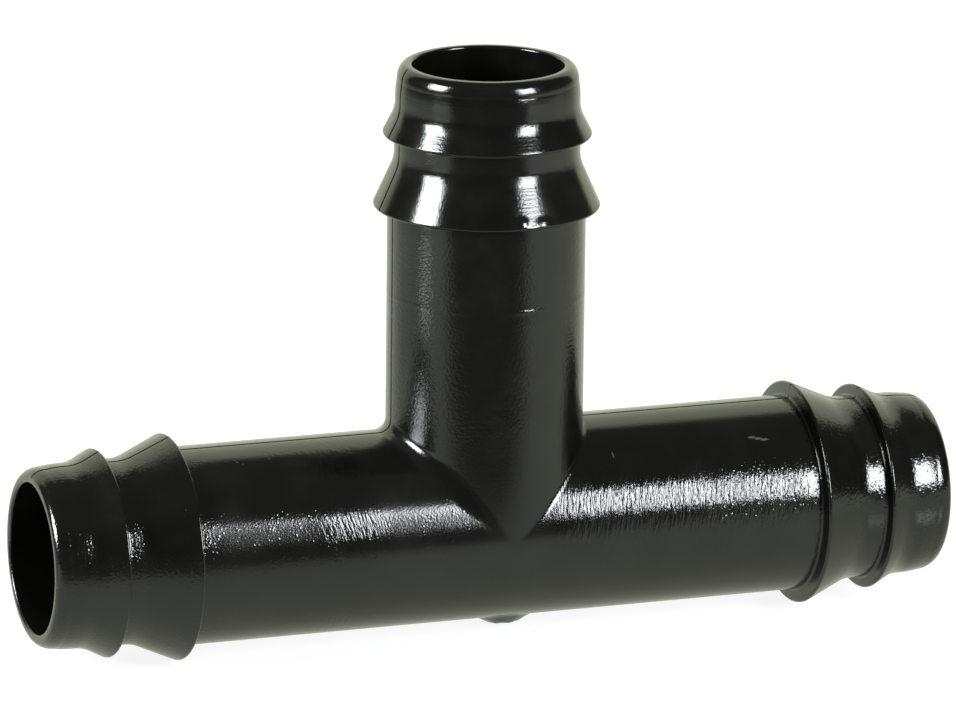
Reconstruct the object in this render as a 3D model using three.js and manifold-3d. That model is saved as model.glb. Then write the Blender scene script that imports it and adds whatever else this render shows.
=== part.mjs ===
import * as THREE from "three";
import { mergeVertices } from "three/addons/utils/BufferGeometryUtils.js";
import Module from "manifold-3d";

// A barbed tee fitting for 19 mm pipe, in millimetres. The run lies along X, the branch points up Z, the
// parting plane of the moulding is y = 0, and z = 0 is the level of the lowest point of the large barbs.
// It is one moulding, drawn as its hub and the tube, barbs and nose of each arm. The sections butt on
// planes square to their arm's axis.

// Tubes
const TUBE_RADIUS = 9.5;
const TUBE_WALL = 2.25;
const RUN_ARM_LENGTH = 45.5; // branch axis to a run mouth
const BRANCH_ARM_LENGTH = 45.1; // run axis to the branch mouth
const HUB_COLLAR = 2.5; // straight stub of each tube kept on the hub, beyond the tube that crosses it

// Nose, the plain lead-in that enters the pipe first
const NOSE_LENGTH = 4.4; // mouth to the start of the small barb's ramp
const NOSE_RELIEF = 0.65; // tube surface down to the nose's root
const NOSE_TAPER = 0.2; // root down to the rim
const RIM_ROUND = 0.7;
const BORE_EDGE_ROUND = 0.25;

// Small barb
const SMALL_RAMP_LENGTH = 2.25;
const SMALL_RISE = 0.48; // crest above the tube surface
const SMALL_BACK_LENGTH = 0.35; // middle of the crest to the foot of the nearly square back face

// Groove between the barbs
const GROOVE_LENGTH = 2.25;
const GROOVE_RELIEF = 0.6; // tube surface down to the groove

// Large barb
const LARGE_RAMP_LENGTH = 4.4;
const LARGE_RISE = 1.35;
const LARGE_BACK_LENGTH = 0.35;
const LARGE_LAND = 1.5; // plain tube that goes with the barb behind its foot

// Roundings that both barbs share
const CREST_ROUND = 0.3;
const RAMP_FILLET = 0.9;
const FOOT_FILLET = 0.2;

// Trimmed gate left under the hub, on the parting plane
const GATE_OFFSET = 1.9; // from the branch axis towards +X
const GATE_RISE = 0.8;
const GATE_BASE_RADIUS = 2.9;
const GATE_TIP_RADIUS = 1.5;

// Fineness of the faceted surfaces
const ROUND_SEGMENTS = 40;
const CURVE_DIVISIONS = 2;
const CUT_OVERRUN = 1; // how far a bore's cutter passes each end

// Sizes that follow
const boreRadius = TUBE_RADIUS - TUBE_WALL;
const noseRootRadius = TUBE_RADIUS - NOSE_RELIEF;
const noseRimRadius = noseRootRadius - NOSE_TAPER;
const grooveRadius = TUBE_RADIUS - GROOVE_RELIEF;
const hubReach = TUBE_RADIUS + HUB_COLLAR;
const axisHeight = TUBE_RADIUS + LARGE_RISE;

// Stations along an arm, measured from its mouth
const smallBarb = {
  rampStart: NOSE_LENGTH,
  crest: NOSE_LENGTH + SMALL_RAMP_LENGTH,
  foot: NOSE_LENGTH + SMALL_RAMP_LENGTH + SMALL_BACK_LENGTH,
  crestRadius: TUBE_RADIUS + SMALL_RISE,
  frontRadius: noseRootRadius,
  backRadius: grooveRadius,
};
const largeRampStart = smallBarb.foot + GROOVE_LENGTH;
const largeBarb = {
  rampStart: largeRampStart,
  crest: largeRampStart + LARGE_RAMP_LENGTH,
  foot: largeRampStart + LARGE_RAMP_LENGTH + LARGE_BACK_LENGTH,
  crestRadius: TUBE_RADIUS + LARGE_RISE,
  frontRadius: grooveRadius,
  backRadius: TUBE_RADIUS,
};
const noseEnd = smallBarb.rampStart - RAMP_FILLET;
const grooveCut = (smallBarb.foot + FOOT_FILLET + largeBarb.rampStart - RAMP_FILLET) / 2;
const barbEnd = largeBarb.foot + LARGE_LAND;

const wasm = await Module();
wasm.setup();

// Black semi-gloss polymer, a little warm.
function blackPolymer() {
  return new THREE.MeshStandardMaterial({ color: 0x24251f, roughness: 0.42, metalness: 0 });
}

// A geometry as a solid that can be joined and cut.
function solidOf(geometry) {
  geometry.deleteAttribute("normal");
  geometry.deleteAttribute("uv");
  const merged = mergeVertices(geometry);
  return new wasm.Manifold(
    new wasm.Mesh({
      numProp: 3,
      vertProperties: merged.attributes.position.array,
      triVerts: merged.index.array,
    }),
  );
}

// A solid as a geometry that a mesh can show.
function geometryOf(solid) {
  const mesh = solid.getMesh();
  const geometry = new THREE.BufferGeometry();
  geometry.setAttribute("position", new THREE.BufferAttribute(mesh.vertProperties, 3));
  geometry.setIndex(new THREE.BufferAttribute(mesh.triVerts, 1));
  geometry.computeVertexNormals();
  return geometry;
}

// A named mesh of the moulding.
function section(name, geometry) {
  const mesh = new THREE.Mesh(geometry, blackPolymer());
  mesh.name = name;
  return mesh;
}

// Polar angle, about a circle's centre, of the point where a line from a point outside touches the circle.
// side is -1 for the touch that lies clockwise of the outside point, and 1 for the other.
function touchAngle(from, centre, radius, side) {
  const away = from.clone().sub(centre);
  return away.angle() + side * Math.acos(radius / away.length());
}

// A ring about an arm's axis: its outer line, given as distance from the mouth and radius, closed along
// the bore. The mouth is armLength up the ring's own Y axis.
function ring(outerLine, armLength) {
  const points = outerLine.getPoints(CURVE_DIVISIONS);
  const first = points[0];
  const last = points[points.length - 1];
  const loop = [...points, new THREE.Vector2(last.x, boreRadius)];
  if (first.y > boreRadius) loop.push(new THREE.Vector2(first.x, boreRadius));
  loop.push(first);
  const profile = loop.map((point) => new THREE.Vector2(point.y, armLength - point.x));
  return new THREE.LatheGeometry(profile.reverse(), ROUND_SEGMENTS);
}

// Outer line of the nose: bore edge, flat end face, rounded rim and a slow taper.
function noseLine() {
  const line = new THREE.Path();
  const edgeRadius = boreRadius + BORE_EDGE_ROUND;
  line.moveTo(BORE_EDGE_ROUND, boreRadius);
  line.absarc(BORE_EDGE_ROUND, edgeRadius, BORE_EDGE_ROUND, -Math.PI / 2, -Math.PI, true);
  line.absarc(RIM_ROUND, noseRimRadius - RIM_ROUND, RIM_ROUND, Math.PI, Math.PI / 2, true);
  line.lineTo(noseEnd, noseRootRadius);
  return line;
}

// Outer line of a barb: fillet, ramp, rounded crest, back face and a small fillet at its foot. The crest is
// an arc that the ramp and the back face touch.
function barbLine(barb, start, end) {
  const rampStart = new THREE.Vector2(barb.rampStart, barb.frontRadius);
  const foot = new THREE.Vector2(barb.foot, barb.backRadius);
  const centre = new THREE.Vector2(barb.crest, barb.crestRadius - CREST_ROUND);
  const rampTouch = touchAngle(rampStart, centre, CREST_ROUND, -1);
  const backTouch = touchAngle(foot, centre, CREST_ROUND, 1);
  const crestOffset = new THREE.Vector2(Math.cos(rampTouch), Math.sin(rampTouch)).multiplyScalar(CREST_ROUND);
  const rampWay = centre.clone().add(crestOffset).sub(rampStart).setLength(RAMP_FILLET);
  const backOffset = new THREE.Vector2(Math.cos(backTouch), Math.sin(backTouch)).multiplyScalar(CREST_ROUND);
  const backWay = centre.clone().add(backOffset).sub(foot).setLength(FOOT_FILLET);
  const line = new THREE.Path();
  line.moveTo(start, barb.frontRadius);
  line.lineTo(rampStart.x - RAMP_FILLET, rampStart.y);
  line.quadraticCurveTo(rampStart.x, rampStart.y, rampStart.x + rampWay.x, rampStart.y + rampWay.y);
  line.absarc(centre.x, centre.y, CREST_ROUND, rampTouch, backTouch, true);
  line.lineTo(foot.x + backWay.x, foot.y + backWay.y);
  line.quadraticCurveTo(foot.x, foot.y, foot.x + FOOT_FILLET, foot.y);
  line.lineTo(end, barb.backRadius);
  return line;
}

// Outer line of the plain tube.
function tubeLine(start, end) {
  const line = new THREE.Path();
  line.moveTo(start, TUBE_RADIUS);
  line.lineTo(end, TUBE_RADIUS);
  return line;
}

// One arm, from the hub's collar to its mouth, along its own Y axis.
function arm(side, armLength) {
  const group = new THREE.Group();
  const lines = {
    tube: tubeLine(barbEnd, armLength - hubReach),
    large_barb: barbLine(largeBarb, grooveCut, barbEnd),
    small_barb: barbLine(smallBarb, noseEnd, grooveCut),
    nose: noseLine(),
  };
  for (const [piece, line] of Object.entries(lines)) {
    group.add(section(`${side}_${piece}`, ring(line, armLength)));
  }
  return group;
}

// A solid bar along Y from one height to another.
function bar(radius, low, high) {
  const geometry = new THREE.CylinderGeometry(radius, radius, high - low, ROUND_SEGMENTS);
  return geometry.translate(0, (low + high) / 2, 0);
}

// The same bar laid along X, and stood along Z.
function runBar(radius, reach) {
  return solidOf(bar(radius, -reach, reach).rotateZ(-Math.PI / 2));
}

function branchBar(radius, reach) {
  return solidOf(bar(radius, 0, reach).rotateX(Math.PI / 2));
}

// The trimmed gate: a low cone that starts half way through the wall and points down.
function gate() {
  const profile = [
    new THREE.Vector2(0, TUBE_WALL / 2 - TUBE_RADIUS),
    new THREE.Vector2(GATE_BASE_RADIUS, TUBE_WALL / 2 - TUBE_RADIUS),
    new THREE.Vector2(GATE_BASE_RADIUS, GATE_RISE / 2 - TUBE_RADIUS),
    new THREE.Vector2(GATE_TIP_RADIUS, -TUBE_RADIUS - GATE_RISE),
    new THREE.Vector2(0, -TUBE_RADIUS - GATE_RISE),
  ];
  const geometry = new THREE.LatheGeometry(profile.reverse(), ROUND_SEGMENTS / 2);
  return solidOf(geometry.rotateX(Math.PI / 2).translate(GATE_OFFSET, 0, 0));
}

// The junction: both tubes and the gate joined, with both bores cut through.
function hub() {
  const outside = runBar(TUBE_RADIUS, hubReach).add(branchBar(TUBE_RADIUS, hubReach)).add(gate());
  const bored = outside
    .subtract(runBar(boreRadius, hubReach + CUT_OVERRUN))
    .subtract(branchBar(boreRadius, hubReach + CUT_OVERRUN));
  return section("junction_hub", geometryOf(bored));
}

const tee = new THREE.Group();
tee.position.z = axisHeight;
tee.add(hub());

const leftArm = arm("left", RUN_ARM_LENGTH);
leftArm.rotation.z = Math.PI / 2;
tee.add(leftArm);

const rightArm = arm("right", RUN_ARM_LENGTH);
rightArm.rotation.z = -Math.PI / 2;
tee.add(rightArm);

const branchArm = arm("branch", BRANCH_ARM_LENGTH);
branchArm.rotation.x = Math.PI / 2;
tee.add(branchArm);

const part = new THREE.Group();
part.add(tee);

export default part;
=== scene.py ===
"""A barbed tee fitting for 19 mm pipe: one black moulding, drawn section by section round its CAD frame.

Every section is a closed surface worked out from a profile, carried round its arm's axis. Lengths are in
metres. An arm is measured from its mouth inwards, and round its axis from the parting plane.
"""

import math
from types import SimpleNamespace

import bpy
import numpy as np
from bpy.props import FloatProperty, FloatVectorProperty, PointerProperty
from mathutils import Matrix, Vector


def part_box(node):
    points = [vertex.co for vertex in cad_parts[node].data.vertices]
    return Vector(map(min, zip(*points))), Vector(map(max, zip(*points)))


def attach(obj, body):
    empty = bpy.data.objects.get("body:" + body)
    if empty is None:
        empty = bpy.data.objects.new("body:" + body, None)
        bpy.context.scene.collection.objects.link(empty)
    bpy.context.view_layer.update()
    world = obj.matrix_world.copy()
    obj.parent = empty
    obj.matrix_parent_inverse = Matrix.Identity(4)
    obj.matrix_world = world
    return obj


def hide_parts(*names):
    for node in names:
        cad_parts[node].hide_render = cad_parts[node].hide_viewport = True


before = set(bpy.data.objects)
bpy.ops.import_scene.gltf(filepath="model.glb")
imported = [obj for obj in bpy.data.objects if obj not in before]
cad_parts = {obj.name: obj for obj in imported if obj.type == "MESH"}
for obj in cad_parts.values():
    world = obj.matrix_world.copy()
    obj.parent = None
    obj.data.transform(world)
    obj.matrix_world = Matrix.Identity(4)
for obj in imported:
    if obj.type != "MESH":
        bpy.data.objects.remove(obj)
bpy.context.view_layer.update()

bl_info = {
    "name": "Barbed Tee Fitting",
    "version": (1, 0, 0),
    "blender": (4, 5, 0),
    "location": "View3D > Sidebar > Tee",
    "description": "Builds a moulded barbed tee fitting with its finish and a plain studio",
    "category": "Object",
}

BODY = "root"
FINISH_NAME = "moulded_black"
ARMS = ("left", "right", "branch")
FULL_TURN = 2 * math.pi
MICROMETRE = 1e-6


# ---------------------------------------------------------------- sizes read from the frame


def span(node, axis):
    """Lowest and highest value of a CAD node along an axis, 0 for X, 1 for Y and 2 for Z."""
    low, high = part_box(node)
    return low[axis], high[axis]


def reach(node):
    """Greatest distance of a node of the right arm from the parting plane, which is its radius."""
    return span(node, 1)[1]


RUN_LENGTH = span("right_nose", 0)[1]
AXIS_HEIGHT = sum(span("right_tube", 2)) / 2
BRANCH_LENGTH = span("branch_nose", 2)[1] - AXIS_HEIGHT
TUBE_RADIUS = reach("right_tube")
HUB_REACH = span("junction_hub", 0)[1]
NOSE_END = RUN_LENGTH - span("right_nose", 0)[0]
GROOVE_CUT = RUN_LENGTH - span("right_small_barb", 0)[0]
BARB_END = RUN_LENGTH - span("right_large_barb", 0)[0]
NOSE_RADIUS = reach("right_nose")
SMALL_RADIUS = reach("right_small_barb")
LARGE_RADIUS = reach("right_large_barb")


# ---------------------------------------------------------------- settings


def length(name, text, default):
    """A setting that is a length in metres."""
    return FloatProperty(name=name, description=text, default=default, unit="LENGTH", precision=5)


def share(name, text, default):
    """A setting from 0 to 1."""
    return FloatProperty(name=name, description=text, default=default, subtype="FACTOR", min=0, max=1)


def angle(name, text, degrees):
    """A setting that is an angle, given here in degrees."""
    return FloatProperty(name=name, description=text, default=math.radians(degrees), unit="ROTATION")


def amount(name, text, default):
    """A setting that is a plain number."""
    return FloatProperty(name=name, description=text, default=default, precision=4)


def colour(name, text, default):
    """A setting that is a colour."""
    return FloatVectorProperty(name=name, description=text, default=default, size=3, subtype="COLOR")


class TeeShape(bpy.types.PropertyGroup):
    """Sizes of the profile that the frame's boxes don't give."""

    bore: length("Bore", "Radius of the water way", 0.00725)
    mouth_lip: length("Mouth lip", "Flat ring between the bore's edge and the rounded rim", 0.0003)
    mouth_edge: length("Mouth edge", "Rounding of the edge between the bore and the mouth", 0.00025)
    rim_depth: length("Rim depth", "How far the rounded rim reaches along the nose", 0.0015)
    nose_taper: length("Nose taper", "How much slimmer the rim is than the nose's root", 0.00015)
    small_ramp: length("Small ramp", "Start of the small barb's ramp, from the mouth", 0.0044)
    small_crest: length("Small crest", "Middle of the small barb's crest, from the mouth", 0.00665)
    small_foot: length("Small foot", "Foot of the small barb's back face, from the mouth", 0.0070)
    groove: length("Groove", "Radius of the groove between the barbs", 0.0089)
    large_ramp: length("Large ramp", "Start of the large barb's ramp, from the mouth", 0.00925)
    large_crest: length("Large crest", "Middle of the large barb's crest, from the mouth", 0.01365)
    large_foot: length("Large foot", "Foot of the large barb's back face, from the mouth", 0.0140)
    crest_round: length("Crest round", "Radius of the rounded crests", 0.00022)
    ramp_fillet: length("Ramp fillet", "Length of the fillet before and after a ramp's start", 0.0009)
    foot_fillet: length("Foot fillet", "Length of the fillet before and after a foot", 0.00022)
    junction_fillet: length("Junction fillet", "Width of the tubes' blend, on the left", 0.0013)
    right_fillet: length("Right fillet", "Width of that blend on the right", 0.0004)


class TeeMarks(bpy.types.PropertyGroup):
    """Marks that the mould leaves."""

    parting_depth: length("Parting depth", "Depth of the witness line where the halves met", 0.00007)
    parting_width: length("Parting width", "Width of that witness line", 0.00011)
    ring_height: length("Ring height", "Height of the witness ring round the branch", 0.000013)
    ring_width: length("Ring width", "Width of that ring", 0.00025)
    ring_level: length("Ring level", "Height of that ring above the run's axis", 0.0229)
    ring_flash: length("Ring flash", "Extra height of that ring over a short stretch", 0.00005)
    lump_height: length("Lump height", "Height of the lumps on the branch barb's crest", 0.00022)
    gate_offset: length("Gate offset", "Middle of the trimmed gate, from the branch's axis", 0.0019)
    gate_rise: length("Gate rise", "How far the trimmed gate stands out", 0.0008)
    gate_base: length("Gate base", "Radius of the trimmed gate at the tube", 0.0034)
    gate_tip: length("Gate tip", "Radius of its sheared face", 0.0012)


class TeeFinish(bpy.types.PropertyGroup):
    """Colour and surface of the black polymer."""

    black: colour("Black", "Main colour of the polymer", (0.0026, 0.0027, 0.0020))
    bloom: colour("Bloom", "Paler film on the surface", (0.0054, 0.0056, 0.0044))
    worn: colour("Worn", "Colour of scuffs", (0.08, 0.08, 0.075))
    gloss_roughness: share("Gloss roughness", "Roughness of the smooth skin", 0.1)
    dull_roughness: share("Dull roughness", "Roughness where the skin is dull", 0.16)
    grain: amount("Grain", "Height of the moulded grain, in micrometres", 9.0)
    streaks: amount("Streaks", "Height of the tool streaks on the run, in micrometres", 70.0)
    specks: amount("Specks", "Height of the scattered specks, in micrometres", 17.0)
    barb_grain: amount("Barb grain", "Height of the grain on barbs and noses, in micrometres", 16.0)
    rings: amount("Rings", "Height of the turned ring lines on barbs and noses, in micrometres", 9.0)


class TeeStage(bpy.types.PropertyGroup):
    """Camera, lights and floor."""

    azimuth: angle("Azimuth", "Camera's turn from straight in front, towards the left arm", 19.92)
    elevation: angle("Elevation", "Camera's height as an angle", 15.15)
    roll: angle("Roll", "Camera's lean", 0.65)
    distance: length("Distance", "Camera to the aim point", 0.9225)
    aim_right: length("Aim right", "Aim point, to the right of the crossing", -0.000475)
    aim_up: length("Aim up", "Aim point, above the crossing", 0.01539)
    lens: amount("Lens", "Focal length in millimetres", 360.4)
    floor_colour: colour("Floor", "Colour of the floor", (0.22, 0.22, 0.22))
    floor_glow: amount("Floor glow", "Light that the floor gives by itself", 0.88)
    mirror_glow: amount("Mirror glow", "That light as the fitting mirrors it", 0.63)
    warm: colour("Warm", "Tint of the mirrored floor and the backdrop", (0.95, 1.0, 0.77))
    cool: colour("Cool", "Tint of the soft boxes", (0.94, 0.98, 1.0))


def settings():
    """The scene's settings, as four groups."""
    scene = bpy.context.scene
    return scene.tee_shape, scene.tee_marks, scene.tee_finish, scene.tee_stage


# ---------------------------------------------------------------- profile lines

STEP = 0.00013  # spacing of profile points on curved stretches
PLAIN_STEP = 0.0004  # spacing on straight ones
BORE_STEP = 0.001  # spacing along the bore
RING_STEP = 0.00006  # spacing across the witness ring
RING_ROOM = 0.0008  # length of the closely spaced stretch, to either side of the ring
TAPER_AIM = 0.0008  # how far behind the rim the nose's taper aims to be level
SAME_PLACE = 1e-9  # points closer than this are one point


def straight(start, end, step=PLAIN_STEP):
    """Points on the straight line from start to end."""
    start, end = np.array(start, float), np.array(end, float)
    count = max(1, math.ceil(np.linalg.norm(end - start) / step))
    along = np.linspace(0, 1, count + 1)[:, None]
    return start + (end - start) * along


def bend(start, corner, end):
    """Points of the parabola that leaves start towards corner and arrives at end from it:
    (1 - t)^2 start + 2 t (1 - t) corner + t^2 end."""
    start, corner, end = (np.array(point, float) for point in (start, corner, end))
    count = max(6, math.ceil(np.linalg.norm(end - start) / STEP))
    t = np.linspace(0, 1, count + 1)[:, None]
    return (1 - t) ** 2 * start + 2 * t * (1 - t) * corner + t**2 * end


def arc(centre, half_axes, first, last):
    """Points of an ellipse's arc: centre plus half_axes times (cos, sin), from angle first to last."""
    count = max(8, math.ceil(abs(last - first) * max(half_axes) / STEP))
    turn = np.linspace(first, last, count + 1)
    return np.array(centre) + np.stack([np.cos(turn), np.sin(turn)], -1) * np.array(half_axes)


def touch_angle(point, centre, radius, side):
    """Angle, about a circle's centre, where a line from a point outside touches the circle. side is -1
    for the touch clockwise of the point, and 1 for the other."""
    away = np.array(point) - np.array(centre)
    return math.atan2(away[1], away[0]) % FULL_TURN + side * math.acos(radius / np.linalg.norm(away))


def unit(vector):
    """The vector at length 1."""
    return vector / np.linalg.norm(vector)


def joined(*lines):
    """Lines end to end, without the points that repeat."""
    points = np.vstack(lines)
    keep = np.r_[True, np.linalg.norm(np.diff(points, axis=0), axis=1) > SAME_PLACE]
    return points[keep]


def nose_line(shape):
    """Bore edge, flat lip, elliptical rim and a slow taper that runs level into the small barb."""
    edge, rim_depth = shape.mouth_edge, shape.rim_depth
    rim_radius = NOSE_RADIUS - shape.nose_taper
    lip = shape.bore + edge + shape.mouth_lip
    level = (rim_depth + TAPER_AIM, NOSE_RADIUS)
    return joined(
        arc((edge, shape.bore + edge), (edge, edge), 1.5 * math.pi, math.pi),
        straight((0, shape.bore + edge), (0, lip), STEP),
        arc((rim_depth, lip), (rim_depth, rim_radius - lip), math.pi, math.pi / 2),
        bend((rim_depth, rim_radius), level, (NOSE_END, NOSE_RADIUS)),
    )


def barb_line(shape, depths, radii):
    """Level lead, fillet, ramp, round crest that the ramp and the back face touch, foot fillet and land.
    depths are those of the start, the ramp, the crest, the foot and the end, and radii are those in
    front of the barb, at its crest and behind it."""
    start, ramp, crest, foot, end = depths
    front, top, back = radii
    round_radius, fillet, foot_fillet = shape.crest_round, shape.ramp_fillet, shape.foot_fillet
    centre = (crest, top - round_radius)
    ramp_touch = touch_angle((ramp, front), centre, round_radius, -1)
    back_touch = touch_angle((foot, back), centre, round_radius, 1) - FULL_TURN
    crown = arc(centre, (round_radius, round_radius), ramp_touch, back_touch)
    climb = np.array((ramp, front)) + unit(crown[0] - (ramp, front)) * fillet
    drop = np.array((foot, back)) + unit(crown[-1] - (foot, back)) * foot_fillet
    return joined(
        straight((start, front), (ramp - fillet, front), STEP),
        bend((ramp - fillet, front), (ramp, front), climb),
        straight(climb, crown[0], STEP),
        crown,
        straight(crown[-1], drop, STEP),
        bend(drop, (foot, back), (foot + foot_fillet, back)),
        straight((foot + foot_fillet, back), (end, back), STEP),
    )


def small_barb_line(shape):
    """The small barb, from the nose to the middle of the groove."""
    depths = (NOSE_END, shape.small_ramp, shape.small_crest, shape.small_foot, GROOVE_CUT)
    return barb_line(shape, depths, (NOSE_RADIUS, SMALL_RADIUS, shape.groove))


def large_barb_line(shape):
    """The large barb, from the middle of the groove to the plain tube."""
    depths = (GROOVE_CUT, shape.large_ramp, shape.large_crest, shape.large_foot, BARB_END)
    return barb_line(shape, depths, (shape.groove, LARGE_RADIUS, TUBE_RADIUS))


def tube_line(arm_length, ring_depth=None):
    """The plain tube, from the large barb's land to the hub, with closer points where it has a ring."""
    stops = [(BARB_END, TUBE_RADIUS), (arm_length - HUB_REACH, TUBE_RADIUS)]
    if ring_depth is None:
        return straight(*stops)
    before, after = (ring_depth - RING_ROOM, TUBE_RADIUS), (ring_depth + RING_ROOM, TUBE_RADIUS)
    return joined(
        straight(stops[0], before), straight(before, after, RING_STEP), straight(after, stops[1])
    )


# ---------------------------------------------------------------- surfaces round an arm

NEAR_PARTING = 3  # degrees from the parting plane within which the angles are close together
NEAR_STEP = 0.2  # degrees, their spacing there
FAR_TURNS = 59  # number of angles from there to a quarter turn
OUTSIDE_ROOM = 0.0006  # points further than this beyond the bore's radius are on the outside
WELD_SCALE = 1e8  # rounding for welding, in steps to the metre
HARD_EDGE = 50  # degrees that the surface turns at an edge that stays hard
FLASH_TURN = 277.0  # degrees, the middle of the ring's flash
FLASH_SPREAD = 9.0  # degrees
LUMP_LENGTH = 0.00036
LUMP_DIMPLE = 0.5  # depth of a lump's dimple beside its height
CREST_LUMPS = (  # degrees, spread round the crest, distance from the crest's middle towards the mouth
    (268.9, 0.00040, 0.00050),
    (281.3, 0.00055, 0.00035),
)


def arm_frame(arm):
    """Length of an arm and three directions: out of its mouth, and the two that its angle turns between.
    Angle 0 and half a turn lie on the parting plane, and the three are right-handed."""
    if arm == "branch":
        return BRANCH_LENGTH, np.array(((0, 0, 1), (1, 0, 0), (0, 1, 0)), float)
    side = -1 if arm == "left" else 1
    return RUN_LENGTH, np.array(((side, 0, 0), (0, 0, 1), (0, -side, 0)), float)


def turns():
    """Angles round an arm: even, and closer together near the parting plane. They are the same seen from
    either side of it, so that neighbouring sections meet point to point."""
    near = np.radians(np.arange(0, NEAR_PARTING, NEAR_STEP))
    far = np.radians(np.linspace(NEAR_PARTING, 90, FAR_TURNS))
    quarter = np.r_[near, far]
    half = np.r_[quarter, math.pi - quarter[-2::-1]]
    return np.r_[half, FULL_TURN - half[-2:0:-1]]


def placed(arm, depth, radius, turn):
    """Points at a depth from an arm's mouth, a radius and an angle: the crossing, plus the outward
    direction times (length - depth), plus radius times (cos, sin) of the angle."""
    arm_length, (out, first, second) = arm_frame(arm)
    centre = np.array((0, 0, AXIS_HEIGHT)) + out * (arm_length - depth)[..., None]
    return centre + radius[..., None] * (
        np.cos(turn)[..., None] * first + np.sin(turn)[..., None] * second
    )


def bell(distance, width):
    """A Gaussian bell: exp(-(distance / width)^2)."""
    return np.exp(-((distance / width) ** 2))


def off_parting(radius, turn):
    """Distance along the surface from the nearest parting line: radius times the angle to 0 or pi."""
    return radius * np.abs((turn + math.pi / 2) % math.pi - math.pi / 2)


def with_witness_line(marks, radius, turn):
    """The outer radius less the witness line, a groove of Gaussian section on the parting plane."""
    return radius - marks.parting_depth * bell(off_parting(radius, turn), marks.parting_width)


def grid_faces(rows, columns, closed_rows):
    """Corner indices of the quads of a grid whose columns close on themselves, and rows if asked."""
    steps = rows if closed_rows else rows - 1
    row, column = np.meshgrid(np.arange(steps), np.arange(columns), indexing="ij")
    below, beside = (row + 1) % rows, (column + 1) % columns
    corners = [row * columns + column, below * columns + column]
    corners += [below * columns + beside, row * columns + beside]
    return np.stack(corners, -1).reshape(-1, 4)


def welded(points, faces):
    """Points with the ones that coincide made one, and the faces on them."""
    rounded = np.round(points * WELD_SCALE).astype(np.int64)
    _, first, where = np.unique(rounded, axis=0, return_index=True, return_inverse=True)
    return points[first], where.reshape(-1)[faces]


def shown(thing):
    """Puts an object in the scene."""
    bpy.context.scene.collection.objects.link(thing)
    return thing


def mesh_object(name, points, faces):
    """A smooth-shaded mesh object with hard edges where the surface turns a corner."""
    mesh = bpy.data.meshes.new(name)
    mesh.from_pydata(points.tolist(), [], faces.tolist())
    mesh.validate()
    mesh.shade_smooth()
    mesh.set_sharp_from_angle(angle=math.radians(HARD_EDGE))
    piece = shown(bpy.data.objects.new(name, mesh))
    piece.data.materials.append(black_polymer())
    return piece


def stands_for(piece, *nodes):
    """Ties a finished piece to the frame and to the CAD nodes that it shows."""
    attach(piece, BODY)
    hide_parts(*nodes)


def ring_section(name, arm, outer, extra=None):
    """One section of an arm: its outer line carried round the axis, and closed by two flat ends and the
    bore. extra, if given, adds to the outer radius as a function of depth and angle."""
    shape, marks, _, _ = settings()
    bore = straight((outer[-1, 0], shape.bore), (outer[0, 0], shape.bore), BORE_STEP)
    loop = joined(outer, bore)
    if np.linalg.norm(loop[-1] - loop[0]) < SAME_PLACE:
        loop = loop[:-1]
    depth, turn = np.meshgrid(loop[:, 0], turns(), indexing="ij")
    rows, columns = depth.shape
    radius = np.repeat(loop[:, 1:2], columns, 1)
    marked = with_witness_line(marks, radius, turn)
    if extra is not None:
        marked = marked + extra(depth, turn)
    radius = np.where(radius > shape.bore + OUTSIDE_ROOM, marked, radius)
    points = placed(arm, depth, radius, turn).reshape(-1, 3)
    piece = mesh_object(name, *welded(points, grid_faces(rows, columns, True)))
    stands_for(piece, name)


def witness_ring(marks):
    """A low ring of Gaussian section round the branch, where the core's sleeve ended, with a little more
    flash over a short stretch in front. Gives its depth from the mouth and what it adds."""
    ring_depth = BRANCH_LENGTH - marks.ring_level

    def extra(depth, turn):
        flash = bell(turn - math.radians(FLASH_TURN), math.radians(FLASH_SPREAD))
        height = marks.ring_height + marks.ring_flash * flash
        return height * bell(depth - ring_depth, marks.ring_width)

    return ring_depth, extra


def crest_lumps(shape, marks):
    """Two small lumps on the crest of the branch's large barb: a Gaussian bell each, exp(-d^2), less a
    dimple half as wide, with d the distance beside the lump's length and spread."""

    def extra(depth, turn):
        total = np.zeros_like(depth)
        for degrees, spread, before_crest in CREST_LUMPS:
            along = (depth - shape.large_crest + before_crest) / LUMP_LENGTH
            around = LARGE_RADIUS * (turn - math.radians(degrees)) / spread
            far = along**2 + around**2
            total += marks.lump_height * (np.exp(-far) - LUMP_DIMPLE * np.exp(-4 * far))
        return total

    return extra


# ---------------------------------------------------------------- the junction hub

FADE_POWER = 10  # how late the blend fades out towards the sides
NO_LENGTH = 1e-7  # a length that counts as nothing
NEWTON_STEPS = 8
PROBE = 1e-6  # distance over which the field's slope is taken
LEAST_STEEPNESS = 0.05  # keeps a step short where the field is nearly level
OUTER_ROWS = 57  # rows of points on the outside of an arm's third of the hub
CROWDING = 1.5  # power by which they crowd towards the seam
INNER_ROWS = 13  # rows along its bore
SHEAR_HEIGHT = 0.00003  # roughness of the gate's sheared face
SHEAR_WAVES = ((5200, 1900), (-2300, 7400))  # its two waves, in radians to the metre along x and y


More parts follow.
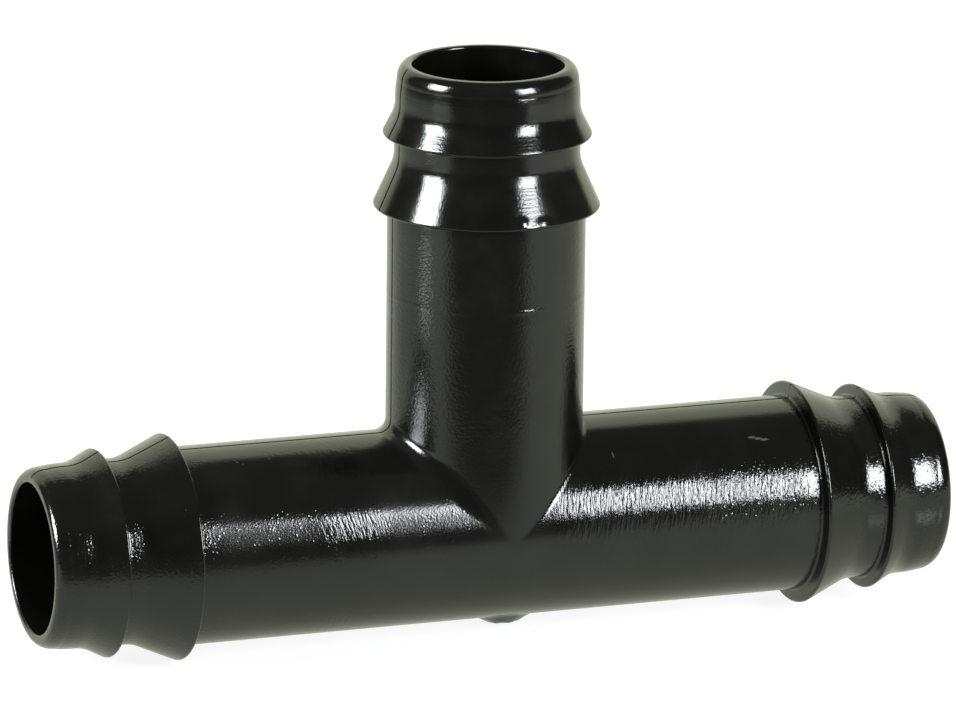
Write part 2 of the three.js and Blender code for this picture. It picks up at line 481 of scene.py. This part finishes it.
def blend_field(points, radius, widths):
    """How far points lie outside the joined tubes: the smaller of the two distances, less w h^2 / 4 with
    h = max(w - |a - b|, 0) / w, where a and b are the distances to the tubes. The width w goes from the
    left one to the right one between x = -r / 2 and r / 2, and fades to nothing where the tubes touch
    side by side, as 1 - (|y| / r)^10."""
    x, y, z = points[..., 0], points[..., 1], points[..., 2] - AXIS_HEIGHT
    to_run = np.hypot(y, z) - radius
    to_branch = np.hypot(x, y) - radius
    fade = 1 - np.clip(np.abs(y) / radius, 0, 1) ** FADE_POWER
    across = np.clip(x / radius + 0.5, 0, 1)
    width = widths[0] + (widths[1] - widths[0]) * across
    local = np.maximum(width * fade, NO_LENGTH)
    near = np.maximum(local - np.abs(to_run - to_branch), 0) / local
    return np.minimum(to_run, to_branch) - local * near**2 / 4


def settled(points, radius, widths):
    """Points above the run's axis moved onto the blended surface by Newton steps along the field's
    slope."""

    def field(at):
        return blend_field(at, radius, widths)

    above = points[..., 2] > AXIS_HEIGHT + NO_LENGTH
    moved = points.copy()
    for _ in range(NEWTON_STEPS):
        probes = np.eye(3) * PROBE
        slope = [(field(moved + step) - field(moved - step)) / (2 * PROBE) for step in probes]
        slope = np.stack(slope, -1)
        steepness = np.maximum((slope**2).sum(-1, keepdims=True), LEAST_STEEPNESS)
        nearer = moved - field(moved)[..., None] * slope / steepness
        moved = np.where(above[..., None], nearer, moved)
    return moved


def seam_distance(arm, radius, turn):
    """Distance from the crossing to the seam with the other arms: for a run arm max(0, r cos) and for
    the branch |r cos|, where the equal tubes meet on the mitre planes."""
    height = radius * np.cos(turn)
    return np.abs(height) if arm == "branch" else np.maximum(height, 0)


def with_gate(marks, points):
    """The trimmed gate: below the run, the surface is drawn down towards a face at radius + rise, by a
    smooth step of the distance from the gate's middle. Two crossed waves roughen that face."""
    x, y = points[..., 0] - marks.gate_offset, points[..., 1]
    z = points[..., 2] - AXIS_HEIGHT
    ramp = (marks.gate_base - np.hypot(x, y)) / (marks.gate_base - marks.gate_tip)
    ramp = np.clip(ramp, 0, 1)
    lift = ramp * ramp * (3 - 2 * ramp)
    rough = SHEAR_HEIGHT * sum(np.sin(x * on_x + y * on_y) for on_x, on_y in SHEAR_WAVES)
    face = -(TUBE_RADIUS + marks.gate_rise) + rough
    z = np.where(z < 0, z + lift * (face - z), z)
    return np.stack([points[..., 0], points[..., 1], z + AXIS_HEIGHT], -1)


def hub_arm(arm, shape, marks):
    """One arm's third of the hub: from its inner seam along the bore, across the cut, and back along the
    outside to the outer seam, where the rows crowd together."""
    turn = turns()
    arm_length, _ = arm_frame(arm)

    def rows(out, radius):
        return placed(arm, arm_length - out, np.full_like(out, radius), np.broadcast_to(turn, out.shape))

    crowd = 1 - (1 - np.linspace(0, 1, OUTER_ROWS)[:, None]) ** CROWDING
    outer_out = HUB_REACH + (seam_distance(arm, TUBE_RADIUS, turn) - HUB_REACH) * crowd
    outside = settled(
        rows(outer_out, TUBE_RADIUS), TUBE_RADIUS, (shape.junction_fillet, shape.right_fillet)
    )
    outside = with_gate(marks, outside)
    inward = rows(outer_out, 0.0) - outside
    inward /= np.linalg.norm(inward, axis=-1, keepdims=True)
    groove = bell(off_parting(TUBE_RADIUS, turn), marks.parting_width)
    outside = outside + inward * (groove * marks.parting_depth)[..., None]

    even = np.linspace(0, 1, INNER_ROWS)[:, None]
    inner_seam = seam_distance(arm, shape.bore, turn)
    inside = rows(inner_seam + (HUB_REACH - inner_seam) * even, shape.bore)
    grid = np.concatenate([inside, outside])
    return grid.reshape(-1, 3), grid_faces(len(grid), len(turn), False)


def build_hub():
    """The junction of the three tubes, with its fillet, its bores and the trimmed gate."""
    shape, marks, _, _ = settings()
    points, faces, count = [], [], 0
    for arm in ARMS:
        arm_points, arm_faces = hub_arm(arm, shape, marks)
        points.append(arm_points)
        faces.append(arm_faces + count)
        count += len(arm_points)
    piece = mesh_object("junction_hub", *welded(np.vstack(points), np.vstack(faces)))
    stands_for(piece, "junction_hub")


# ---------------------------------------------------------------- finish

# how closely the skin's patterns are packed, in cells to the metre
FINE_GRAIN, BRANCH_GRAIN, BARB_GRAIN = 5200.0, 3800.0, 3300.0
RING_LINES, RING_WANDER = 4200.0, 260.0  # along the arm and across it
FILM_PATCHES = 160.0

# heights that no setting gives, in micrometres
CELL_HEIGHT, BARB_CELL_HEIGHT = 15.0, 12.0
LEFT_STREAK_HEIGHT, DOT_HEIGHT = 34.0, 46.0
BRANCH_GRAIN_HEIGHT, RING_MARK_HEIGHT = 30.0, 40.0

# marks in one place, each a centre from the crossing and a half-size, in millimetres
DOT_ROWS = (
    ((22.4, -9.45, 0.85), (4.6, 1.5, 0.55)),
    ((23.1, -9.43, -1.15), (2.6, 1.5, 0.4)),
    ((29.3, -9.2, -2.36), (1.0, 1.5, 0.4)),
)
RING_MARK = (((-32.4, -8.3, 6.4), (2.2, 3.0, 2.4)),)
SCUFFS = (
    ((10.93, -6.27, 7.13), (0.1, 0.5, 0.5)),
    ((25.4, -5.77, 7.55), (0.55, 0.3, 0.13)),
    ((26.0, -5.93, 7.42), (0.55, 0.3, 0.13)),
    ((26.6, -6.08, 7.30), (0.55, 0.3, 0.13)),
)


class Wiring:
    """Adds nodes to a node tree and joins them."""

    def __init__(self, tree):
        self.tree = tree

    def add(self, kind, inputs=(), **values):
        """A node of that kind, with values set and inputs either linked or set."""
        node = self.tree.nodes.new(kind)
        for name, value in values.items():
            setattr(node, name, value)
        for key, value in dict(inputs).items():
            if isinstance(value, bpy.types.NodeSocket):
                self.tree.links.new(value, node.inputs[key])
            else:
                node.inputs[key].default_value = value
        return node

    def math(self, operation, first, second=0.0, third=0.0):
        """A Math node's result."""
        inputs = {0: first, 1: second, 2: third}
        return self.add("ShaderNodeMath", inputs, operation=operation).outputs[0]

    def times(self, product, *factors):
        """Values multiplied together, from the first to the last."""
        for factor in factors:
            product = self.math("MULTIPLY", product, factor)
        return product

    def mix(self, mask, first, second):
        """A colour that is first where the mask is 0 and second where it is 1."""
        inputs = {0: mask}
        for key, value in ((6, first), (7, second)):
            inputs[key] = value if isinstance(value, bpy.types.NodeSocket) else (*value, 1)
        return self.add("ShaderNodeMix", inputs, data_type="RGBA").outputs[2]

    def ramp(self, value, low, high, out_low=0.0, out_high=1.0):
        """value carried smoothly from low..high to out_low..out_high, and held beyond."""
        inputs = {"Value": value, "From Min": low, "From Max": high}
        inputs |= {"To Min": out_low, "To Max": out_high}
        node = self.add("ShaderNodeMapRange", inputs, interpolation_type="SMOOTHSTEP")
        return node.outputs["Result"]

    def noise(self, vector, scale, detail=2.0, roughness=0.5):
        """A Noise texture's value."""
        inputs = {"Vector": vector, "Scale": scale, "Detail": detail, "Roughness": roughness}
        return self.add("ShaderNodeTexNoise", inputs).outputs["Fac"]

    def grouped(self, group, vector, **inputs):
        """A node group's result at a vector."""
        inputs["Vector"] = vector
        return self.add("ShaderNodeGroup", inputs, node_tree=group).outputs[0]

    def split(self, vector):
        """The three parts of a vector, by the names X, Y and Z."""
        return self.add("ShaderNodeSeparateXYZ", {0: vector}).outputs


def node_group(name, inputs, outputs, build):
    """A shader node group, made once. inputs and outputs give each socket's kind; build wires it up from
    the group's inputs and returns its outputs."""
    found = bpy.data.node_groups.get(name)
    if found:
        return found
    group = bpy.data.node_groups.new(name, "ShaderNodeTree")
    for way, kinds in (("INPUT", inputs), ("OUTPUT", outputs)):
        for key, kind in kinds.items():
            group.interface.new_socket(name=key, in_out=way, socket_type=kind)
    wire = Wiring(group)
    source = wire.add("NodeGroupInput").outputs
    wire.add("NodeGroupOutput", build(wire, source))
    return group


VECTOR, VALUE = "NodeSocketVector", "NodeSocketFloat"


def streak_group():
    """Slanted streaks: noise on (x - slant z, y, z), many across and few along. The height runs from 0
    to 1."""

    def build(wire, source):
        axes = wire.split(source["Vector"])
        slant = wire.math("MULTIPLY", source["Slant"], -1.0)
        across = wire.math("MULTIPLY_ADD", axes["Z"], slant, axes["X"])
        parts = {
            0: wire.math("MULTIPLY", across, source["Across"]),
            1: wire.math("MULTIPLY", axes["Y"], source["Along"]),
            2: wire.math("MULTIPLY", axes["Z"], source["Along"]),
        }
        lattice = wire.add("ShaderNodeCombineXYZ", parts).outputs[0]
        return {"Height": wire.noise(lattice, 1.0, roughness=0.55)}

    inputs = {"Vector": VECTOR, "Slant": VALUE, "Across": VALUE, "Along": VALUE}
    return node_group("tool_streaks", inputs, {"Height": VALUE}, build)


def speck_group():
    """Scattered specks: smooth bumps round the points of a Voronoi pattern, kept where a coarser noise
    is over a threshold."""

    def build(wire, source):
        cells = wire.add("ShaderNodeTexVoronoi", {"Vector": source["Vector"], "Scale": source["Scale"]})
        bump = wire.ramp(cells.outputs["Distance"], 0.45, 0.0)
        coarse = wire.noise(source["Vector"], wire.math("MULTIPLY", source["Scale"], 0.4))
        kept = wire.ramp(coarse, source["Threshold"], wire.math("ADD", source["Threshold"], 0.12))
        return {"Height": wire.math("MULTIPLY", bump, kept)}

    inputs = {"Vector": VECTOR, "Scale": VALUE, "Threshold": VALUE}
    return node_group("scattered_specks", inputs, {"Height": VALUE}, build)


def mark_group():
    """One local mark: a smooth mask, 1 near a centre and 0 past an ellipsoid's edge."""

    def build(wire, source):
        parts = {0: source["Vector"], 1: source["Centre"]}
        away = wire.add("ShaderNodeVectorMath", parts, operation="SUBTRACT").outputs[0]
        parts = {0: away, 1: source["Size"]}
        scaled = wire.add("ShaderNodeVectorMath", parts, operation="DIVIDE").outputs[0]
        far = wire.add("ShaderNodeVectorMath", {0: scaled}, operation="LENGTH").outputs["Value"]
        return {"Mask": wire.ramp(far, 1.0, 0.3)}

    inputs = {"Vector": VECTOR, "Centre": VECTOR, "Size": VECTOR}
    return node_group("local_mark", inputs, {"Mask": VALUE}, build)


def marked(wire, place, marks):
    """The mask of one or more marks in one place."""
    total = None
    for centre, size in marks:
        x, y, z = (value / 1000 for value in centre)
        half = [value / 1000 for value in size]
        mask = wire.grouped(mark_group(), place, Centre=(x, y, z + AXIS_HEIGHT), Size=half)
        total = mask if total is None else wire.math("MAXIMUM", total, mask)
    return total


def skin_zones(wire, axes):
    """Masks of where the surface is: the right and the left arm, the branch, the plain tubes, the
    branch's own, the barbs and noses, and the run's flank."""
    top = AXIS_HEIGHT + TUBE_RADIUS
    arm_end = RUN_LENGTH - BARB_END
    branch_end = AXIS_HEIGHT + arm_end
    run_tube = wire.ramp(wire.math("ABSOLUTE", axes["X"]), arm_end + 0.001, arm_end - 0.001)
    branch_tube = wire.ramp(axes["Z"], branch_end + 0.001, branch_end - 0.001)
    tube = wire.times(run_tube, branch_tube)
    above_axis = wire.math("SUBTRACT", axes["Z"], AXIS_HEIGHT)
    return SimpleNamespace(
        right=wire.ramp(axes["X"], 0.003, 0.007),
        left=wire.ramp(axes["X"], -0.002, -0.006),
        upper=wire.ramp(axes["Z"], top - 0.001, top + 0.002),
        tube=tube,
        branch_tube=branch_tube,
        barbs=wire.math("SUBTRACT", 1.0, tube),
        flank=wire.times(wire.ramp(above_axis, -0.004, -0.001), wire.ramp(above_axis, 0.0072, 0.0058)),
    )


def skin_relief(wire, place, axes, finish):
    """The skin's relief in micrometres: the sum of patterns from 0 to 1, each times its height."""
    zone = skin_zones(wire, axes)
    streaked = wire.times(zone.right, zone.tube, zone.flank)
    streaks = wire.grouped(streak_group(), place, Slant=0.16, Across=4200.0, Along=700.0)
    left_streaks = wire.grouped(streak_group(), place, Slant=-0.25, Across=3600.0, Along=900.0)
    near_left = wire.times(wire.ramp(axes["X"], -0.021, -0.018), wire.ramp(axes["X"], -0.012, -0.015))
    cells = wire.grouped(speck_group(), place, Scale=2800.0, Threshold=0.3)
    far_right = wire.ramp(axes["X"], 0.016, 0.027)
    off_branch = wire.math("SUBTRACT", 1.0, zone.upper)
    specks = wire.grouped(speck_group(), place, Scale=2600.0, Threshold=0.5)
    far_left = wire.ramp(axes["X"], -0.016, -0.022, 0.45, 1.0)
    dots = wire.grouped(speck_group(), place, Scale=2300.0, Threshold=0.42)
    calmer = wire.math("MULTIPLY_ADD", zone.upper, -0.7, 1.0)

    # lines turned round each arm: noise that changes fast along the arm and slowly across it
    along = {0: zone.upper, 2: axes["X"], 3: axes["Z"]}
    along = wire.add("ShaderNodeMix", along).outputs[0]
    turned = {0: wire.times(along, RING_LINES), 1: wire.times(axes["Y"], RING_WANDER)}
    turned = wire.add("ShaderNodeCombineXYZ", turned).outputs[0]
    rings = wire.noise(turned, 1.0, roughness=0.6)

    layers = (
        (wire.noise(place, FINE_GRAIN), finish.grain),
        (streaks, wire.times(streaked, finish.streaks)),
        (cells, wire.times(streaked, far_right, CELL_HEIGHT)),
        (cells, wire.times(zone.barbs, off_branch, BARB_CELL_HEIGHT)),
        (left_streaks, wire.times(near_left, LEFT_STREAK_HEIGHT)),
        (specks, wire.times(zone.left, zone.tube, far_left, finish.specks)),
        (dots, wire.times(marked(wire, place, DOT_ROWS), DOT_HEIGHT)),
        (
            wire.noise(place, BRANCH_GRAIN, roughness=0.55),
            wire.times(zone.upper, zone.branch_tube, BRANCH_GRAIN_HEIGHT),
        ),
        (
            wire.noise(place, BARB_GRAIN, roughness=0.6),
            wire.times(zone.barbs, calmer, finish.barb_grain),
        ),
        (rings, wire.times(zone.barbs, finish.rings)),
        (rings, wire.times(marked(wire, place, RING_MARK), RING_MARK_HEIGHT)),
    )
    height = 0.0
    for pattern, tall in layers:
        height = wire.math("MULTIPLY_ADD", pattern, tall, height)
    return height


def black_polymer():
    """The black moulded polymer, made once and shared by every section."""
    found = bpy.data.materials.get(FINISH_NAME)
    if found:
        return found
    _, _, finish, _ = settings()
    material = bpy.data.materials.new(FINISH_NAME)
    material.use_nodes = True
    material.node_tree.nodes.clear()
    wire = Wiring(material.node_tree)
    place = wire.add("ShaderNodeTexCoord").outputs["Object"]
    height = skin_relief(wire, place, wire.split(place), finish)
    bump = wire.add("ShaderNodeBump", {"Height": height, "Strength": 1.0, "Distance": MICROMETRE})
    film = wire.noise(place, FILM_PATCHES, 3.0, 0.6)
    tint = wire.mix(wire.ramp(film, 0.4, 0.8), finish.black, finish.bloom)
    tint = wire.mix(marked(wire, place, SCUFFS), tint, finish.worn)
    rough = wire.ramp(film, 0.3, 0.75, finish.gloss_roughness, finish.dull_roughness)
    inputs = {"Base Color": tint, "Roughness": rough, "Normal": bump.outputs["Normal"], "IOR": 1.5}
    shader = wire.add("ShaderNodeBsdfPrincipled", inputs)
    wire.add("ShaderNodeOutputMaterial", {"Surface": shader.outputs["BSDF"]})
    return material


# ---------------------------------------------------------------- stage

FLOOR_RADII = np.r_[0.02, np.geomspace(0.05, 4.0, 12)]
FLOOR_TURNS = 64
BLACK, WHITE = (0, 0, 0), (1, 1, 1)

# the painted shade in front, a dark wedge that only the fitting's reflections show: its turn in degrees,
# how fast it widens, where it starts and how soft its sides are, in metres, and how dark it is
WEDGE_TURN, WEDGE_SLOPE = 18, 1.2
WEDGE_START, WEDGE_SIDE = (0.018, 0.08), (0.02, -0.06)
WEDGE_SHADE = 0.86

# the floor's glossy coat to either side: where it fades in, in metres
RIGHT_COAT_X, RIGHT_COAT_Y, RIGHT_COAT = (0.04, 0.05), (-0.035, -0.02), 0.6
LEFT_COAT_X, LEFT_COAT_Y = (-0.04, -0.05), (-0.009, 0.003)

LAMP_DISTANCE = 0.6
SOFT_BOXES = (  # name, azimuth, elevation and half its width and height in degrees, and brightness
    ("right_soft_box", 31.2, 21, (9.3, 12.0), 30),
    ("left_soft_box", -88.5, 24, (11.0, 11.5), 38),
)

# the surround, with angles in degrees: the backdrop's middle, half its width, its height, the softness
# of its sides and of its top, and its strength
BACKDROP_MIDDLE, BACKDROP_SIDE, BACKDROP_TOP = 165, 50, 50
SIDE_SOFTNESS, TOP_SOFTNESS = 4, 3
BACKDROP_STRENGTH = 1.1
OVERHEAD = (0.55, 0.8, 0.075, 0.14)  # heights from 0 to 1 between which the rest grows stronger


def floor_material(stage):
    """A pale matt floor that gives light, with a glossy coat to either side of the fitting. Mirrored in
    the fitting it is warmer and dimmer, a painted reflection, and dark in front: painted shade where a
    camera and its stand would shade it."""
    material = bpy.data.materials.new("pale_floor")
    material.use_nodes = True
    wire = Wiring(material.node_tree)
    place = wire.add("ShaderNodeTexCoord").outputs["Object"]
    turn = {"Vector": place, "Rotation": (0, 0, math.radians(WEDGE_TURN))}
    axes = wire.split(wire.add("ShaderNodeMapping", turn).outputs["Vector"])
    forward = wire.math("MULTIPLY", axes["Y"], -1.0)
    edge = wire.math("MULTIPLY", forward, WEDGE_SLOPE)
    aside = wire.math("SUBTRACT", wire.math("ABSOLUTE", axes["X"]), edge)
    ahead = wire.ramp(forward, *WEDGE_START)
    # painted shade: the dark wedge darkens the floor, but only in the fitting's reflections
    shade = wire.times(ahead, wire.ramp(aside, *WEDGE_SIDE), WEDGE_SHADE)
    mirrored = wire.add("ShaderNodeLightPath").outputs["Is Glossy Ray"]
    # painted reflection: the fitting's reflections see a warmer, dimmer glow, with the painted shade in
    # front
    dimmed = [value * stage.mirror_glow / stage.floor_glow for value in stage.warm]
    glow = wire.mix(mirrored, WHITE, wire.mix(shade, dimmed, BLACK))
    base = wire.mix(wire.math("MULTIPLY", mirrored, shade), stage.floor_colour, BLACK)
    plain = wire.split(place)
    to_right = wire.times(wire.ramp(plain["X"], *RIGHT_COAT_X), wire.ramp(plain["Y"], *RIGHT_COAT_Y))
    to_left = wire.times(wire.ramp(plain["X"], *LEFT_COAT_X), wire.ramp(plain["Y"], *LEFT_COAT_Y))
    coat = wire.math("MULTIPLY_ADD", to_right, RIGHT_COAT, to_left)
    shader = material.node_tree.nodes["Principled BSDF"]
    material.node_tree.links.new(base, shader.inputs["Base Color"])
    material.node_tree.links.new(glow, shader.inputs["Emission Color"])
    material.node_tree.links.new(coat, shader.inputs["Coat Weight"])
    shader.inputs["Emission Strength"].default_value = stage.floor_glow
    shader.inputs["Roughness"].default_value = 0.9
    shader.inputs["Specular IOR Level"].default_value = 0.0
    shader.inputs["Coat Roughness"].default_value = 0.05
    return material


def build_floor(stage):
    """A wide round floor: rings at growing radii about the middle, level with the lowest barb."""
    turn = np.linspace(0, FULL_TURN, FLOOR_TURNS, endpoint=False)
    x, y = FLOOR_RADII[:, None] * np.cos(turn), FLOOR_RADII[:, None] * np.sin(turn)
    points = np.stack([x, y, np.zeros_like(x)], -1).reshape(-1, 3)
    faces = grid_faces(len(FLOOR_RADII), FLOOR_TURNS, False).tolist()
    faces.append(list(range(FLOOR_TURNS)))
    mesh = bpy.data.meshes.new("floor")
    mesh.from_pydata(points.tolist(), [], faces)
    floor = shown(bpy.data.objects.new("floor", mesh))
    floor.data.materials.append(floor_material(stage))


def direction(azimuth, elevation):
    """Unit vector towards an azimuth, from straight in front towards the right arm, and an elevation."""
    azimuth, elevation = math.radians(azimuth), math.radians(elevation)
    level = math.cos(elevation)
    return Vector((math.sin(azimuth) * level, -math.cos(azimuth) * level, math.sin(elevation)))


def soft_box(stage, name, azimuth, elevation, half_angles, brightness):
    """A rectangular soft light that faces the crossing. half_angles are half its width and half its
    height as seen from there, and brightness is how bright its face is beside white paper."""
    light = bpy.data.lights.new(name, "AREA")
    light.shape = "RECTANGLE"
    wide, high = (2 * LAMP_DISTANCE * math.tan(math.radians(half)) for half in half_angles)
    light.size, light.size_y = wide, high
    light.energy = brightness * math.pi * light.size * light.size_y
    light.color = stage.cool
    lamp = shown(bpy.data.objects.new(name, light))
    way = direction(azimuth, elevation)
    lamp.location = Vector((0, 0, AXIS_HEIGHT)) + way * LAMP_DISTANCE
    lamp.rotation_euler = way.to_track_quat("Z", "Y").to_euler()
    lamp.visible_camera = False


def build_camera(stage):
    """The camera, turned and leaned about the aim point."""
    back = direction(-math.degrees(stage.azimuth), math.degrees(stage.elevation))
    right = Vector((0, 0, 1)).cross(back).normalized()
    up = back.cross(right)
    lean = Matrix.Rotation(stage.roll, 3, back)
    right, up = lean @ right, lean @ up
    data = bpy.data.cameras.new("camera")
    data.lens = stage.lens
    data.sensor_width = 36
    data.clip_start = 0.01
    data.clip_end = 10
    camera = shown(bpy.data.objects.new("camera", data))
    aim = Vector((0, 0, AXIS_HEIGHT)) + right * stage.aim_right + up * stage.aim_up
    axes = Matrix((right, up, back)).transposed().to_4x4()
    camera.matrix_world = Matrix.Translation(aim + back * stage.distance) @ axes
    bpy.context.scene.camera = camera


def build_world(stage):
    """A dim surround, with a pale backdrop behind the fitting."""
    world = bpy.data.worlds.new("surround")
    world.use_nodes = True
    wire = Wiring(world.node_tree)
    way = wire.split(wire.add("ShaderNodeTexCoord").outputs["Generated"])
    middle = direction(BACKDROP_MIDDLE, 0)
    towards = wire.math("MULTIPLY", way["Y"], middle.y)
    towards = wire.math("MULTIPLY_ADD", way["X"], middle.x, towards)
    level = wire.math("SQRT", wire.math("SUBTRACT", 1.0, wire.math("MULTIPLY", way["Z"], way["Z"])))
    sides = [BACKDROP_SIDE + SIDE_SOFTNESS, BACKDROP_SIDE - SIDE_SOFTNESS]
    tops = [BACKDROP_TOP + TOP_SOFTNESS, BACKDROP_TOP - TOP_SOFTNESS]
    facing = wire.math("DIVIDE", towards, level)
    wide = wire.ramp(facing, *(math.cos(math.radians(side)) for side in sides))
    low = wire.ramp(way["Z"], *(math.sin(math.radians(top)) for top in tops))
    overhead = wire.ramp(way["Z"], *OVERHEAD)
    strength = wire.math("MULTIPLY_ADD", wire.times(wide, low), BACKDROP_STRENGTH, overhead)
    background = world.node_tree.nodes["Background"]
    world.node_tree.links.new(strength, background.inputs["Strength"])
    background.inputs["Color"].default_value = (*stage.warm, 1)
    bpy.context.scene.world = world


def build_stage():
    """Floor, camera, lights and surround."""
    _, _, _, stage = settings()
    build_floor(stage)
    build_camera(stage)
    build_world(stage)
    for box in SOFT_BOXES:
        soft_box(stage, *box)
    bpy.context.scene.view_settings.view_transform = "Standard"


# ---------------------------------------------------------------- operators


class TEE_OT_hub(bpy.types.Operator):
    """Builds the junction hub with its fillet, bores and trimmed gate"""

    bl_idname = "tee.hub"
    bl_label = "Junction Hub"

    def execute(self, context):
        build_hub()
        return {"FINISHED"}


class TEE_OT_tubes(bpy.types.Operator):
    """Builds the plain tube of each arm"""

    bl_idname = "tee.tubes"
    bl_label = "Tubes"

    def execute(self, context):
        ring_depth, ring = witness_ring(context.scene.tee_marks)
        for arm in ("left", "right"):
            ring_section(f"{arm}_tube", arm, tube_line(RUN_LENGTH))
        ring_section("branch_tube", "branch", tube_line(BRANCH_LENGTH, ring_depth), ring)
        return {"FINISHED"}


class TEE_OT_large_barbs(bpy.types.Operator):
    """Builds the large barb of each arm"""

    bl_idname = "tee.large_barbs"
    bl_label = "Large Barbs"

    def execute(self, context):
        shape, marks = context.scene.tee_shape, context.scene.tee_marks
        for arm in ARMS:
            lumps = crest_lumps(shape, marks) if arm == "branch" else None
            ring_section(f"{arm}_large_barb", arm, large_barb_line(shape), lumps)
        return {"FINISHED"}


class TEE_OT_small_barbs(bpy.types.Operator):
    """Builds the small barb of each arm"""

    bl_idname = "tee.small_barbs"
    bl_label = "Small Barbs"

    def execute(self, context):
        for arm in ARMS:
            ring_section(f"{arm}_small_barb", arm, small_barb_line(context.scene.tee_shape))
        return {"FINISHED"}


class TEE_OT_noses(bpy.types.Operator):
    """Builds the nose of each arm"""

    bl_idname = "tee.noses"
    bl_label = "Noses"

    def execute(self, context):
        for arm in ARMS:
            ring_section(f"{arm}_nose", arm, nose_line(context.scene.tee_shape))
        return {"FINISHED"}


class TEE_OT_stage(bpy.types.Operator):
    """Builds the floor, the lights and the camera"""

    bl_idname = "tee.stage"
    bl_label = "Stage"

    def execute(self, context):
        build_stage()
        return {"FINISHED"}


class TEE_PT_panel(bpy.types.Panel):
    """Lists the steps that build the fitting"""

    bl_idname = "TEE_PT_panel"
    bl_label = "Tee Fitting"
    bl_space_type = "VIEW_3D"
    bl_region_type = "UI"
    bl_category = "Tee"

    def draw(self, context):
        for operator in OPERATORS:
            self.layout.operator(operator.bl_idname)
        for name in GROUPS:
            box = self.layout.box()
            group = getattr(context.scene, name)
            for key in group.__annotations__:
                box.prop(group, key)


OPERATORS = (
    TEE_OT_hub,
    TEE_OT_tubes,
    TEE_OT_large_barbs,
    TEE_OT_small_barbs,
    TEE_OT_noses,
    TEE_OT_stage,
)
GROUPS = {
    "tee_shape": TeeShape,
    "tee_marks": TeeMarks,
    "tee_finish": TeeFinish,
    "tee_stage": TeeStage,
}


def register():
    """Registers the settings, the operators and the panel."""
    for name, group in GROUPS.items():
        bpy.utils.register_class(group)
        setattr(bpy.types.Scene, name, PointerProperty(type=group))
    for operator in OPERATORS:
        bpy.utils.register_class(operator)
    bpy.utils.register_class(TEE_PT_panel)


def unregister():
    """Takes them all away again."""
    bpy.utils.unregister_class(TEE_PT_panel)
    for operator in reversed(OPERATORS):
        bpy.utils.unregister_class(operator)
    for name, group in reversed(GROUPS.items()):
        delattr(bpy.types.Scene, name)
        bpy.utils.unregister_class(group)


def main():
    """Builds everything in order."""
    register()
    bpy.ops.tee.hub()
    bpy.ops.tee.tubes()
    bpy.ops.tee.large_barbs()
    bpy.ops.tee.small_barbs()
    bpy.ops.tee.noses()
    bpy.ops.tee.stage()


if __name__ == "__main__":
    main()
